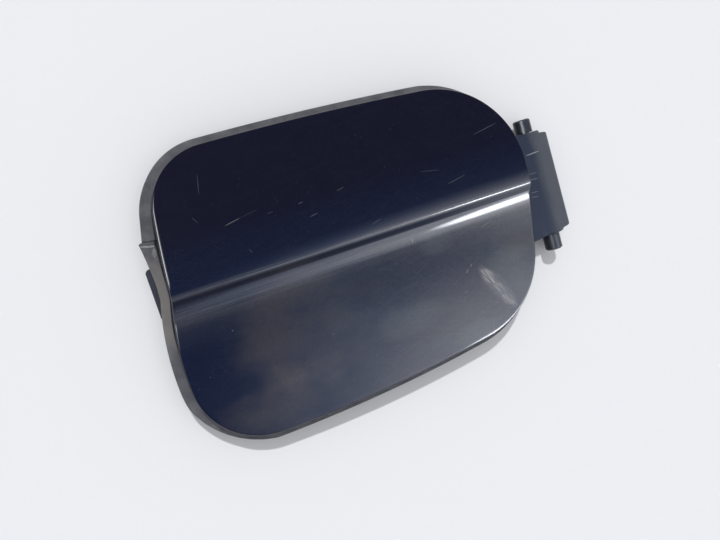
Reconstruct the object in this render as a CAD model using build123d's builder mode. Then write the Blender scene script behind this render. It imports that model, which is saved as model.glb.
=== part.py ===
"""Car fuel door, lying on its back with the painted face up.

Frame: the origin is on the hinge axis, midway along the hinge arm. +X runs from the free edge
towards the hinge and on past it, +Y runs along the hinge axis up the door, +Z points out of the
painted face. All sizes are millimetres.
"""
from build123d import *
import os
from math import cos, radians, sin

# Heights, measured from the hinge axis
REST_DEPTH = 7.5  # axis down to the surface that the door lies on
CREASE_HEIGHT = 15.7  # axis up to the crest of the panel, beside the crease
SEAT_HEIGHT = 5.2  # flat seat of the hinge arm and the catch under the carrier

# Outline of the painted panel, as corners that are rounded afterwards
EDGE_TO_AXIS = 10.7  # hinge-side edge to the hinge axis
CREASE_LENGTH = 173.6  # free edge to hinge-side edge, along the crease
TOP_AT_FREE_EDGE = 61.2  # crease up to the top edge
TOP_AT_HINGE = 54.6
BOTTOM_AT_FREE_EDGE = 67.9  # crease down to the bottom edge
BOTTOM_AT_HINGE = 57.4
FREE_EDGE_LEAN = 8.3  # the free edge leans in by this much at its top
HINGE_EDGE_LEAN = 10.0  # the hinge-side edge leans in by this much at its bottom
FREE_EDGE_BULGE = 4.9  # bow of the free edge below the crease
FREE_EDGE_BOW = 1.05  # bow of the free edge above the crease
TOP_BOW = 2.35
BOTTOM_BOW = 4.55
TOP_FREE_RADIUS = 27.2
TOP_HINGE_RADIUS = 43.6
BOTTOM_HINGE_RADIUS = 42.1
BOTTOM_FREE_RADIUS = 31.5
FREE_KINK_RADIUS = 9.0  # where the free edge crosses the crease
HINGE_KINK_RADIUS = 60.0

# Section of the painted panel across the crease: offset up the door, drop below the crest
CROWN_RADIUS = 2400.0  # crown from the free edge to the hinge
RIDGE_OFFSET = 2.7
RIDGE_DROP = 0.38
SHOULDER_WIDTH = 4.8  # from the crest, where the panel is highest, down to the ridge
UPPER_MID = (40.0, 1.3)
UPPER_END = (75.0, 4.3)
STEP_WIDTH = 3.3  # steep face below the ridge
STEP_DROP = 2.68
FOOT_WIDTH = 4.3  # slope that runs out of the groove
FOOT_DROP = 4.25
LOWER_MID = (-32.0, 4.15)
LOWER_END = (-84.0, 6.7)
CREST_RADIUS = 40.0
RIDGE_RADIUS = 1.6
GROOVE_RADIUS = 2.0
FOOT_RADIUS = 17.0
SKIN = 2.0
RIM_DEPTH = 3.4  # panel edge, from the painted face to its lower lip
RIM_WIDTH = 2.0
EDGE_ROUNDING = 0.8

# Inner carrier
BOND_GAP = 0.2  # adhesive line between the panel and the carrier
CARRIER_WALL = 1.8
SKIRT_INSET = 4.0  # panel edge in to the skirt that holds the seal
SKIRT_WALL = 1.8
SKIRT_HEIGHT = 1.8  # lower edge of the skirt and the ribs, above the axis
RIB_WALL = 1.6
RIB_COUNT = 4  # ribs across the door
RIB_MARGIN = 5.0
NOTCH_LENGTH = 17.0  # gap in the carrier, from the panel's edge inwards, that the arm passes
NOTCH_CLEARANCE = 2.0

# Lip seal
SEAL_REACH = 3.8  # lip beyond the panel's edge
SEAL_SHIFT = 1.2  # the lip sits this much nearer the free edge
SEAL_CORNER_EASE = 5.5  # the lip's lower free corner is rounder than the panel's by this much
SEAL_WALL = 1.3
SEAL_FIT = 0.1
LIP_TOP = 5.1  # top of the lip at its root
LIP_DROOP = 1.4
LIP_WALL = 1.5
TEAR_OFFSET = 28.0  # tear in the lip, up the free edge from the crease
TEAR_LENGTH = 20.0  # stretch below the tear that has sprung out
TEAR_FLARE = 3.3
TEAR_GAP = 0.7

# Hinge arm, pin and bushes
ARM_HALF_LENGTH = 27.8  # half the arm along the axis, at its widest
ARM_WIDEST = 24.0  # axis back to the widest place, out of sight under the panel
ARM_TIP_HALF_LENGTH = 23.6
ARM_ROOT_HALF_LENGTH = 22.0
ARM_REACH = 9.6  # axis to the outer face of the arm
ARM_ROOT = 44.0  # axis back to the end of the arm's flange
ARM_RISE_START = 19.0  # the arm rises from its seat between these two distances from the axis
ARM_RISE_END = 13.0
ARM_WALL = 2.8
ARM_CORNER = 4.5
ARM_SKIRT = 3.0  # outer wall below the axis
ARM_ROUNDING = 0.8  # outer edges of the cover
BOSS_RADIUS = 6.9
BOSS_PROUD = 0.85  # boss beyond the end of the arm
BOSS_CHAMFER = 0.6
WEB_WALL = 2.6
WEB_END_INSET = 1.4  # middle of the outer webs from the end of the arm's tip
WEB_ROOT = 25.0  # axis back to the end of the webs
WEB_INSET = 0.6  # webs inside the boss
PIN_RADIUS = 2.5
PIN_FIT = 0.05
PIN_RECESS = 0.8  # pin end below the bush end
BUSH_RADIUS = 4.2
BUSH_UPPER_LENGTH = 6.75
BUSH_LOWER_LENGTH = 8.35
BUSH_GAP = 0.15
BUSH_FIT = 0.02
BUSH_CHAMFER = 0.6

# Catch
CATCH_CENTRE = 5.8  # up the door from the crease
CATCH_WIDTH = 23.5
CATCH_REACH = 7.4  # tongue beyond the panel's free edge
CATCH_WALL = 3.0
CATCH_DEPTH = 8.8  # seat down to the underside of the tongue
CATCH_LEG_INSET = 12.0  # panel edge in to the leg
CATCH_BASE = 18.0
WINDOW_LENGTH = 7.0
WINDOW_WIDTH = 12.0
WINDOW_MARGIN = 3.6
CRANK_RADIUS = 1.2  # inside of each bend in the catch
GUSSET_WALL = 2.0
GUSSET_LENGTH = 4.5
TONGUE_CORNER = 2.0

# Fasteners and rubber stops
SCREW_RADIUS = 2.0
SCREW_FIT = 0.05
SCREW_HEAD_RADIUS = 5.0
SCREW_HEAD = 2.4
SCREW_ENGAGED = 2.6
HOLE_RADIUS = 2.6
PAD_RADIUS = 6.0
DRIVE_RADIUS = 1.6
DRIVE_DEPTH = 1.2
ARM_SCREW_INSET = 35.0
ARM_SCREW_SPACING = 28.0
CATCH_SCREW_SPACING = 13.0
STOP_RADIUS = 6.2
STOP_TIP_RADIUS = 5.0
STOP_HEIGHT = 8.0
STOP_BOSS_RADIUS = 5.5
STOP_STEM_RADIUS = 2.5
STOP_STEM = 3.5
STOP_FIT = 0.05
STOP_FREE_INSET = 24.0
STOP_HINGE_INSET = 30.0
STOP_TOP_INSET = 20.0
STOP_BOTTOM_INSET = 22.0

# Values that follow from the sizes above
HINGE_EDGE = -EDGE_TO_AXIS
FREE_EDGE = HINGE_EDGE - CREASE_LENGTH
MID_X = (HINGE_EDGE + FREE_EDGE) / 2
REST_Z = -REST_DEPTH
STOP_SEAT = REST_Z + STOP_HEIGHT
TALL = 60.0  # taller than the door, for cutting prisms
CARRIER_TOP = SKIN + BOND_GAP
CARRIER_INSET = RIM_WIDTH + BOND_GAP
SLOT_OUTER = SKIRT_INSET - SEAL_FIT
SLOT_INNER = SKIRT_INSET + SKIRT_WALL + SEAL_FIT
CHANNEL_BOTTOM = SKIRT_HEIGHT - SEAL_FIT - SEAL_WALL
LEG_X = FREE_EDGE + CATCH_LEG_INSET
CATCH_END = LEG_X + CATCH_WALL + CATCH_BASE
TONGUE_Z = SEAT_HEIGHT - CATCH_DEPTH
SEAT_UNDERSIDE = SEAT_HEIGHT - ARM_WALL
CATCH_SCREW_X = LEG_X + CATCH_WALL + CATCH_BASE / 2
ARM_AXIS_HALF_LENGTH = ARM_TIP_HALF_LENGTH + (ARM_HALF_LENGTH - ARM_TIP_HALF_LENGTH) * ARM_REACH / (
    ARM_REACH + ARM_WIDEST
)
BOSS_END = ARM_AXIS_HALF_LENGTH + BOSS_PROUD
WEB_SPACING = (ARM_TIP_HALF_LENGTH - WEB_END_INSET) / 2
RIB_FIRST = CATCH_END + RIB_MARGIN
RIB_LAST = -ARM_ROOT - RIB_MARGIN
RIB_XS = [RIB_FIRST + i * (RIB_LAST - RIB_FIRST) / (RIB_COUNT - 1) for i in range(RIB_COUNT)]
RIB_Y = ARM_HALF_LENGTH + RIB_MARGIN
NOTCH_HALF_LENGTH = ARM_HALF_LENGTH + NOTCH_CLEARANCE
ARM_SCREWS = [(-ARM_SCREW_INSET, s * ARM_SCREW_SPACING / 2) for s in (1, -1)]
CATCH_SCREWS = [(CATCH_SCREW_X, CATCH_CENTRE + s * CATCH_SCREW_SPACING / 2) for s in (1, -1)]
STOPS = {
    "stop_upper_free": (FREE_EDGE + STOP_FREE_INSET, TOP_AT_FREE_EDGE - STOP_TOP_INSET),
    "stop_lower_free": (FREE_EDGE + STOP_FREE_INSET, STOP_BOTTOM_INSET - BOTTOM_AT_FREE_EDGE),
    "stop_upper_hinge": (HINGE_EDGE - STOP_HINGE_INSET, TOP_AT_HINGE - STOP_TOP_INSET),
    "stop_lower_hinge": (HINGE_EDGE - STOP_HINGE_INSET, STOP_BOTTOM_INSET - BOTTOM_AT_HINGE),
}


def outline(inset=0.0, ease=0.0):
    """Panel outline moved in by inset, with its lower free corner rounder by ease."""
    top_free = (FREE_EDGE + FREE_EDGE_LEAN, TOP_AT_FREE_EDGE)
    top_hinge = (HINGE_EDGE, TOP_AT_HINGE)
    hinge_kink = (HINGE_EDGE, 0)
    bottom_hinge = (HINGE_EDGE - HINGE_EDGE_LEAN, -BOTTOM_AT_HINGE)
    bottom_free = (FREE_EDGE, -BOTTOM_AT_FREE_EDGE)
    free_kink = (FREE_EDGE, RIDGE_OFFSET)
    corners = {
        top_free: TOP_FREE_RADIUS,
        top_hinge: TOP_HINGE_RADIUS,
        hinge_kink: HINGE_KINK_RADIUS,
        bottom_hinge: BOTTOM_HINGE_RADIUS,
        bottom_free: BOTTOM_FREE_RADIUS + ease,
        free_kink: FREE_KINK_RADIUS,
    }
    with BuildSketch() as sketch:
        with BuildLine():
            SagittaArc(top_free, top_hinge, TOP_BOW)
            Polyline(top_hinge, hinge_kink, bottom_hinge)
            SagittaArc(bottom_hinge, bottom_free, BOTTOM_BOW)
            SagittaArc(bottom_free, free_kink, FREE_EDGE_BULGE)
            SagittaArc(free_kink, top_free, FREE_EDGE_BOW)
        make_face()
        for corner, radius in corners.items():
            fillet(sketch.vertices().sort_by_distance(corner)[0], radius=radius)
        if inset:
            offset(amount=-inset, mode=Mode.REPLACE)
    with BuildSketch() as redrawn:  # offset edges drawn again as plain lines and arcs
        with BuildLine():
            for edge in sketch.edges():
                if edge.geom_type == GeomType.LINE:
                    Line(edge @ 0, edge @ 1)
                else:
                    ThreePointArc(edge @ 0, edge @ 0.5, edge @ 1)
        make_face()
    return redrawn.sketch


def crowned_band(upper, lower):
    """Solid between the painted surface lowered by upper and by lower, wider than the door."""
    base = CROWN_RADIUS + CREASE_HEIGHT
    section = [
        UPPER_END,
        (RIDGE_OFFSET + SHOULDER_WIDTH, 0),
        (RIDGE_OFFSET, RIDGE_DROP),
        (RIDGE_OFFSET - STEP_WIDTH, STEP_DROP),
        (RIDGE_OFFSET - STEP_WIDTH - FOOT_WIDTH, FOOT_DROP),
        LOWER_END,
    ]
    radii = (CREST_RADIUS, RIDGE_RADIUS, GROOVE_RADIUS, FOOT_RADIUS)
    half_sweep = 4.0
    tilt = radians(half_sweep)
    crown_axis = Axis((MID_X, 0, -CROWN_RADIUS), (0, 1, 0))
    start = Plane(origin=(MID_X, 0, -CROWN_RADIUS), x_dir=(0, 1, 0), z_dir=(cos(tilt), 0, sin(tilt)))
    with BuildPart() as band:
        with BuildSketch(start) as sketch:
            for drop in (upper, lower):
                points = [(y, base - d - drop) for y, d in section]
                with BuildLine():
                    ThreePointArc(points[0], (UPPER_MID[0], base - UPPER_MID[1] - drop), points[1])
                    Polyline(*points[1:5])
                    ThreePointArc(points[4], (LOWER_MID[0], base - LOWER_MID[1] - drop), points[5])
                    if drop == upper:
                        for y, z in (points[0], points[5]):
                            Line((y, z), (y, z + upper - lower))
            make_face()
            for drop in (upper, lower):
                for (y, d), radius in zip(section[1:5], radii):
                    fillet(sketch.vertices().sort_by_distance((y, base - d - drop))[0], radius=radius)
        revolve(axis=crown_axis, revolution_arc=2 * half_sweep)
    return band.part


panel_outline = outline()
rim_outline = outline(RIM_WIDTH)
carrier_outline = outline(CARRIER_INSET)
skirt_outline = outline(SKIRT_INSET)
skirt_inner_outline = outline(SKIRT_INSET + SKIRT_WALL)
rib_outline = outline(SLOT_INNER + SEAL_WALL + SEAL_FIT)
os.makedirs("parts", exist_ok=True)

# Painted outer panel: crowned skin with a crease, a rounded edge and a shallow turned rim
panel_skin = crowned_band(0, SKIN)
panel_lower = crowned_band(SKIN / 2, RIM_DEPTH)

with BuildPart() as rim:
    add(panel_lower)
    with BuildSketch():
        add(panel_outline)
        add(rim_outline, mode=Mode.SUBTRACT)
    extrude(amount=TALL, both=True, mode=Mode.INTERSECT)
    with BuildSketch(Plane.XY.offset(-TALL)):
        with Locations((HINGE_EDGE, 0)):
            Rectangle(2 * NOTCH_LENGTH, 2 * NOTCH_HALF_LENGTH)
    extrude(amount=2 * TALL, mode=Mode.SUBTRACT)
    add(panel_skin, mode=Mode.SUBTRACT)

with BuildPart() as outer_panel:
    add(panel_skin)
    with BuildSketch():
        add(panel_outline)
    extrude(amount=TALL, both=True, mode=Mode.INTERSECT)
    walls = outer_panel.faces().filter_by(lambda f: abs(f.normal_at().Z) < 0.2)
    painted = outer_panel.faces().filter_by(lambda f: f.normal_at().Z > 0.3)
    wall_edges = walls.edges()
    shoulder = [e for e in painted.edges() if any(e.is_same(w) for w in wall_edges)]
    fillet(shoulder, radius=EDGE_ROUNDING)
    add(rim.part)
outer_panel.part.label = "outer_panel"
export_step(outer_panel.part, "parts/outer_panel.step")

# Inner carrier: a moulded plate under the panel, with a skirt for the seal, ribs, pads and bosses
carrier_plate = crowned_band(CARRIER_TOP, CARRIER_TOP + CARRIER_WALL)
below_carrier = crowned_band(CARRIER_TOP + CARRIER_WALL / 2, TALL)

with BuildPart() as carrier_cuts:
    with BuildSketch(Plane.XY.offset(-TALL)):
        with Locations((HINGE_EDGE, 0)):
            Rectangle(2 * NOTCH_LENGTH, 2 * NOTCH_HALF_LENGTH)
    extrude(amount=2 * TALL)
    with BuildSketch(Plane.XY.offset(SEAT_HEIGHT)):
        with Locations(*ARM_SCREWS, *CATCH_SCREWS):
            Circle(SCREW_RADIUS + SCREW_FIT)
    extrude(amount=SCREW_ENGAGED)
    with BuildSketch(Plane.XY.offset(STOP_SEAT)):
        with Locations(*STOPS.values()):
            Circle(STOP_STEM_RADIUS + STOP_FIT)
    extrude(amount=STOP_STEM + STOP_FIT)

with BuildPart() as carrier_ribs:
    with BuildSketch(Plane.XY.offset(SKIRT_HEIGHT)):
        for x in RIB_XS:
            with Locations((x, 0)):
                Rectangle(RIB_WALL, 4 * BOTTOM_AT_FREE_EDGE)
        for y in (RIB_Y, -RIB_Y):
            with Locations((MID_X, y)):
                Rectangle(2 * CREASE_LENGTH, RIB_WALL)
        add(rib_outline, mode=Mode.INTERSECT)
    extrude(amount=TALL)
    with BuildSketch(Plane.XY.offset(SKIRT_HEIGHT)):
        add(skirt_outline)
        add(skirt_inner_outline, mode=Mode.SUBTRACT)
    extrude(amount=TALL)
    with BuildSketch(Plane.XY.offset(SEAT_HEIGHT)):
        with Locations(*ARM_SCREWS, *CATCH_SCREWS):
            Circle(PAD_RADIUS)
    extrude(amount=TALL)
    with BuildSketch(Plane.XY.offset(STOP_SEAT)):
        with Locations(*STOPS.values()):
            Circle(STOP_BOSS_RADIUS)
    extrude(amount=TALL)
    add(below_carrier, mode=Mode.INTERSECT)
    add(carrier_cuts.part, mode=Mode.SUBTRACT)

with BuildPart() as inner_carrier:
    add(carrier_plate)
    with BuildSketch():
        add(carrier_outline)
    extrude(amount=TALL, both=True, mode=Mode.INTERSECT)
    add(carrier_cuts.part, mode=Mode.SUBTRACT)
    add(carrier_ribs.part)
inner_carrier.part.label = "inner_carrier"
export_step(inner_carrier.part, "parts/inner_carrier.step")

# Lip seal: a channel pushed onto the skirt, with a drooping lip that is torn at the free edge
lip_root = outline(SLOT_OUTER)
channel_outer = outline(SLOT_OUTER - SEAL_WALL)
channel_inner = outline(SLOT_INNER + SEAL_WALL)
slot_inner = outline(SLOT_INNER)
lip_edge = Pos(-SEAL_SHIFT, 0) * outline(-SEAL_REACH, SEAL_CORNER_EASE)
flare_edge = Pos(-SEAL_SHIFT, 0) * outline(-SEAL_REACH - TEAR_FLARE, SEAL_CORNER_EASE)


def lip_sheet(edge):
    """Drooping sheet from the seal's channel out to the given edge."""
    solids = []
    for lift in (0, -LIP_WALL):
        with BuildPart() as dish:
            with BuildSketch(Plane.XY.offset(LIP_TOP - LIP_DROOP + lift)):
                add(edge)
            with BuildSketch(Plane.XY.offset(LIP_TOP + lift)):
                add(channel_outer)
            loft(ruled=True)
            with BuildSketch(Plane.XY.offset(LIP_TOP - LIP_DROOP + lift)):
                add(edge)
            extrude(amount=-LIP_WALL)
        solids.append(dish.part)
    return solids


lip_over, lip_under = lip_sheet(lip_edge)
flare_over, flare_under = lip_sheet(flare_edge)
tear_y = TEAR_OFFSET
tear_root = FREE_EDGE + FREE_EDGE_LEAN

with BuildPart() as sprung_lip:
    add(flare_over)
    add(flare_under, mode=Mode.SUBTRACT)
    with BuildSketch(Plane.XY.offset(-TALL)):
        with BuildLine():
            Polyline(
                (tear_root, tear_y),
                (FREE_EDGE - SEAL_REACH - SEAL_SHIFT - TEAR_FLARE, tear_y),
                (FREE_EDGE - SEAL_REACH - SEAL_SHIFT, tear_y - TEAR_LENGTH),
                (tear_root, tear_y - TEAR_LENGTH),
                close=True,
            )
        make_face()
    extrude(amount=2 * TALL, mode=Mode.INTERSECT)

with BuildPart() as lip_seal:
    add(lip_over)
    add(lip_under, mode=Mode.SUBTRACT)
    add(sprung_lip.part)
    with BuildSketch(Plane.XY.offset(-TALL)):
        with Locations((tear_root - TALL / 2, tear_y + TEAR_GAP / 2)):
            Rectangle(TALL, TEAR_GAP)
    extrude(amount=2 * TALL, mode=Mode.SUBTRACT)
    with BuildSketch(Plane.XY.offset(CHANNEL_BOTTOM)):
        add(channel_outer)
    extrude(amount=LIP_TOP - CHANNEL_BOTTOM)
    with BuildSketch(Plane.XY.offset(-TALL)):
        add(channel_inner)
    extrude(amount=2 * TALL, mode=Mode.SUBTRACT)
    with BuildSketch(Plane.XY.offset(SKIRT_HEIGHT - SEAL_FIT)):
        add(lip_root)
        add(slot_inner, mode=Mode.SUBTRACT)
    extrude(amount=TALL, mode=Mode.SUBTRACT)
    with BuildSketch(Plane.XY.offset(-TALL)):
        with Locations((HINGE_EDGE, 0)):
            Rectangle(2 * NOTCH_LENGTH, 2 * NOTCH_HALF_LENGTH)
    extrude(amount=2 * TALL, mode=Mode.SUBTRACT)
lip_seal.part.label = "lip_seal"
export_step(lip_seal.part, "parts/lip_seal.step")

# Hinge arm: a bent cover on five webs, with a boss for the pin at each end
cover_top = BOSS_RADIUS
cover = [
    (-ARM_ROOT, SEAT_HEIGHT),
    (-ARM_RISE_START, SEAT_HEIGHT),
    (-ARM_RISE_END, cover_top),
    (ARM_REACH, cover_top),
    (ARM_REACH, -ARM_SKIRT),
    (ARM_REACH - ARM_WALL, -ARM_SKIRT),
    (ARM_REACH - ARM_WALL, cover_top - ARM_WALL),
    (-ARM_RISE_END, cover_top - ARM_WALL),
    (-ARM_RISE_START, SEAT_UNDERSIDE),
    (-ARM_ROOT, SEAT_UNDERSIDE),
]
cover_bend = 3.0
web_radius = BOSS_RADIUS - WEB_INSET
web_tail = 0.8
web_ys = [i * WEB_SPACING for i in (-2, -1, 0, 1, 2)]

with BuildPart() as hinge_arm:
    with BuildSketch(Plane.XZ) as cover_section:
        with BuildLine():
            Polyline(*cover, close=True)
        make_face()
        for point, radius in (
            (cover[3], ARM_CORNER),
            (cover[6], ARM_CORNER - ARM_WALL),
            (cover[1], cover_bend),
            (cover[2], cover_bend),
            (cover[7], cover_bend),
            (cover[8], cover_bend),
        ):
            fillet(cover_section.vertices().sort_by_distance(point)[0], radius=radius)
    extrude(amount=ARM_HALF_LENGTH, both=True)
    with BuildSketch():
        with BuildLine():
            Polyline(
                (ARM_REACH, ARM_TIP_HALF_LENGTH),
                (-ARM_WIDEST, ARM_HALF_LENGTH),
                (-ARM_ROOT, ARM_ROOT_HALF_LENGTH),
                (-ARM_ROOT, -ARM_ROOT_HALF_LENGTH),
                (-ARM_WIDEST, -ARM_HALF_LENGTH),
                (ARM_REACH, -ARM_TIP_HALF_LENGTH),
                close=True,
            )
        make_face()
    extrude(amount=TALL, both=True, mode=Mode.INTERSECT)
    crown_face = hinge_arm.faces().filter_by(Axis.Z).group_by(Axis.Z)[-1].sort_by(Axis.X)[-1]
    corner_face = hinge_arm.faces().filter_by(GeomType.CYLINDER).sort_by(Axis.X)[-1]
    outer_face = hinge_arm.faces().filter_by(Axis.X).sort_by(Axis.X)[-1]
    end_edges = [
        edge
        for face in (crown_face, corner_face, outer_face)
        for edge in face.edges().filter_by(Axis.Y, reverse=True)
        if abs(edge.center().Y) > ARM_TIP_HALF_LENGTH / 2
    ]
    fillet(end_edges, radius=ARM_ROUNDING)
    for y in web_ys:
        with BuildSketch(Plane.XZ.offset(-y)):
            Circle(web_radius)
            with Locations((-WEB_ROOT, SEAT_UNDERSIDE + web_tail)):
                Circle(web_tail)
            make_hull()
            with Locations((ARM_REACH / 2 - ARM_WALL / 2, (cover_top - ARM_SKIRT - ARM_WALL) / 2)):
                Rectangle(ARM_REACH, cover_top + ARM_SKIRT - ARM_WALL)
        extrude(amount=WEB_WALL / 2, both=True)
    for side in (1, -1):
        boss_plane = Plane(origin=(0, side * web_ys[-1], 0), x_dir=(1, 0, 0), z_dir=(0, side, 0))
        boss_length = BOSS_END - web_ys[-1]
        with BuildSketch(boss_plane):
            Circle(BOSS_RADIUS)
        extrude(amount=boss_length - BOSS_CHAMFER)
        with BuildSketch(boss_plane.offset(boss_length - BOSS_CHAMFER)):
            Circle(BOSS_RADIUS)
        extrude(amount=BOSS_CHAMFER, taper=45)
    with BuildSketch(Plane.XZ):
        Circle(PIN_RADIUS + PIN_FIT)
    extrude(amount=TALL, both=True, mode=Mode.SUBTRACT)
    with BuildSketch(Plane.XY.offset(-TALL)):
        with Locations(*ARM_SCREWS):
            Circle(HOLE_RADIUS)
    extrude(amount=2 * TALL, mode=Mode.SUBTRACT)
hinge_arm.part.label = "hinge_arm"
export_step(hinge_arm.part, "parts/hinge_arm.step")

# Hinge pin through the arm, with a plastic bush on each end that turns in the car's bracket
bush_start = BOSS_END + BUSH_GAP
upper_tip = bush_start + BUSH_UPPER_LENGTH
lower_tip = bush_start + BUSH_LOWER_LENGTH

with BuildPart() as hinge_pin:
    with BuildSketch(Plane.XZ.offset(lower_tip - PIN_RECESS)):
        Circle(PIN_RADIUS)
    extrude(amount=-(upper_tip + lower_tip - 2 * PIN_RECESS))
    chamfer(hinge_pin.edges().filter_by(GeomType.CIRCLE), length=PIN_RADIUS / 6)
hinge_pin.part.label = "hinge_pin"
export_step(hinge_pin.part, "parts/hinge_pin.step")

for name, side, length in (("bush_upper", 1, BUSH_UPPER_LENGTH), ("bush_lower", -1, BUSH_LOWER_LENGTH)):
    with BuildPart() as bush:
        with BuildSketch(Plane.XZ.offset(-side * bush_start)):
            Circle(BUSH_RADIUS)
            Circle(PIN_RADIUS + BUSH_FIT, mode=Mode.SUBTRACT)
        extrude(amount=-side * length)
        tip = bush.faces().sort_by(Axis.Y)[-1 if side > 0 else 0]
        chamfer(tip.edges().sort_by(SortBy.RADIUS)[-1], length=BUSH_CHAMFER)
    bush.part.label = name
    export_step(bush.part, f"parts/{name}.step")

# Catch: a cranked tongue with a window for the lock's bolt, screwed under the free edge
crank = [
    (CATCH_END, SEAT_HEIGHT),
    (LEG_X, SEAT_HEIGHT),
    (LEG_X, TONGUE_Z + CATCH_WALL),
    (FREE_EDGE - CATCH_REACH, TONGUE_Z + CATCH_WALL),
    (FREE_EDGE - CATCH_REACH, TONGUE_Z),
    (LEG_X + CATCH_WALL, TONGUE_Z),
    (LEG_X + CATCH_WALL, SEAT_HEIGHT - CATCH_WALL),
    (CATCH_END, SEAT_HEIGHT - CATCH_WALL),
]

with BuildPart() as catch:
    with BuildSketch(Plane.XZ.offset(-CATCH_CENTRE)) as crank_section:
        with BuildLine():
            Polyline(*crank, close=True)
        make_face()
        for point, radius in (
            (crank[1], CRANK_RADIUS + CATCH_WALL),
            (crank[2], CRANK_RADIUS),
            (crank[5], CRANK_RADIUS + CATCH_WALL),
            (crank[6], CRANK_RADIUS),
        ):
            fillet(crank_section.vertices().sort_by_distance(point)[0], radius=radius)
    extrude(amount=CATCH_WIDTH / 2, both=True)
    tongue_end = catch.edges().filter_by(Axis.Z).group_by(Axis.X)[0]
    fillet(tongue_end, radius=TONGUE_CORNER)
    for side in (1, -1):
        gusset_y = CATCH_CENTRE + side * (CATCH_WIDTH - GUSSET_WALL) / 2
        with BuildSketch(Plane.XZ.offset(-gusset_y)):
            with BuildLine():
                Polyline(
                    (LEG_X, TONGUE_Z + CATCH_WALL),
                    (LEG_X + CATCH_WALL, TONGUE_Z + CATCH_WALL),
                    (LEG_X + CATCH_WALL + GUSSET_LENGTH, SEAT_HEIGHT - CATCH_WALL),
                    (LEG_X + CATCH_WALL, SEAT_HEIGHT - CATCH_WALL / 2),
                    (LEG_X + CATCH_WALL / 2, SEAT_HEIGHT - CATCH_WALL),
                    close=True,
                )
            make_face()
        extrude(amount=GUSSET_WALL / 2, both=True)
    with BuildSketch(Plane.XY.offset(-TALL)):
        with Locations((FREE_EDGE - CATCH_REACH + WINDOW_MARGIN + WINDOW_LENGTH / 2, CATCH_CENTRE)):
            RectangleRounded(WINDOW_LENGTH, WINDOW_WIDTH, 1)
        with Locations(*CATCH_SCREWS):
            Circle(HOLE_RADIUS)
    extrude(amount=2 * TALL, mode=Mode.SUBTRACT)
catch.part.label = "catch"
export_step(catch.part, "parts/catch.step")

# Washer-head screws that hold the arm and the catch
with BuildPart() as mounting_screws:
    for places, wall in ((ARM_SCREWS, ARM_WALL), (CATCH_SCREWS, CATCH_WALL)):
        head_z = SEAT_HEIGHT - wall
        with BuildSketch(Plane.XY.offset(head_z)):
            with Locations(*places):
                Circle(SCREW_HEAD_RADIUS)
        extrude(amount=-SCREW_HEAD)
        with BuildSketch(Plane.XY.offset(head_z)):
            with Locations(*places):
                Circle(SCREW_RADIUS)
        extrude(amount=wall + SCREW_ENGAGED - SCREW_FIT)
        with BuildSketch(Plane.XY.offset(head_z - SCREW_HEAD)):
            with Locations(*places):
                RegularPolygon(DRIVE_RADIUS, 6)
        extrude(amount=DRIVE_DEPTH, mode=Mode.SUBTRACT)
mounting_screws.part.label = "mounting_screws"
export_step(mounting_screws.part, "parts/mounting_screws.step")

# Rubber stops that cushion the closing door
for name, (x, y) in STOPS.items():
    with BuildPart() as stop:
        with BuildSketch(Plane(origin=(x, y, 0), x_dir=(1, 0, 0), z_dir=(0, -1, 0))) as stop_section:
            with BuildLine():
                Polyline(
                    (0, REST_Z),
                    (STOP_TIP_RADIUS, REST_Z),
                    (STOP_RADIUS, STOP_SEAT),
                    (STOP_STEM_RADIUS, STOP_SEAT),
                    (STOP_STEM_RADIUS, STOP_SEAT + STOP_STEM),
                    (0, STOP_SEAT + STOP_STEM),
                    close=True,
                )
            make_face()
            fillet(stop_section.vertices().sort_by_distance((STOP_TIP_RADIUS, REST_Z))[0], radius=1.2)
        revolve(axis=Axis((x, y, 0), (0, 0, 1)))
    stop.part.label = name
    export_step(stop.part, f"parts/{name}.step")
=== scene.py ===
"""Looks of a car fuel door that lies face up: glossy dark panel, torn lip seal, hinge and catch.

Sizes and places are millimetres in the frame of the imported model, and meshes are made in metres.
"""
import math

import bmesh
import bpy
import numpy as np
from mathutils import Matrix, Vector


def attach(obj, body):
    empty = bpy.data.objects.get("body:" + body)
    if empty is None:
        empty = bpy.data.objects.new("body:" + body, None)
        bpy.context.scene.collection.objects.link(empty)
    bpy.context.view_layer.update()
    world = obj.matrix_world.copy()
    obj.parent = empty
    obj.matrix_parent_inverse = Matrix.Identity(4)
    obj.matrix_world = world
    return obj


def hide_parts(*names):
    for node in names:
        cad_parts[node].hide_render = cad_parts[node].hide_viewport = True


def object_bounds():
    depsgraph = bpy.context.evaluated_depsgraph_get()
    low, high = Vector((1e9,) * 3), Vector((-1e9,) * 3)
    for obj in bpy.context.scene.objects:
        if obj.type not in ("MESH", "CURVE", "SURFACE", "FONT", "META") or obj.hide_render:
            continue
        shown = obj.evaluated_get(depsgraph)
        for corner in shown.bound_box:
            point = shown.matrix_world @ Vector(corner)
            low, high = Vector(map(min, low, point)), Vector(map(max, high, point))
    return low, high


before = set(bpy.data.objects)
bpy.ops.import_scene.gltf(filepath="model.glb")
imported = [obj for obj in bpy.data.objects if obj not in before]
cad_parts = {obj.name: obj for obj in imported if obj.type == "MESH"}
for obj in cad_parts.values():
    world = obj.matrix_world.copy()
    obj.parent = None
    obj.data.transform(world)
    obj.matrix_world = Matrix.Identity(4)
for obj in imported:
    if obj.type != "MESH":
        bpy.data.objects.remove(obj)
cad_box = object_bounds()
MM = 0.001

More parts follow.
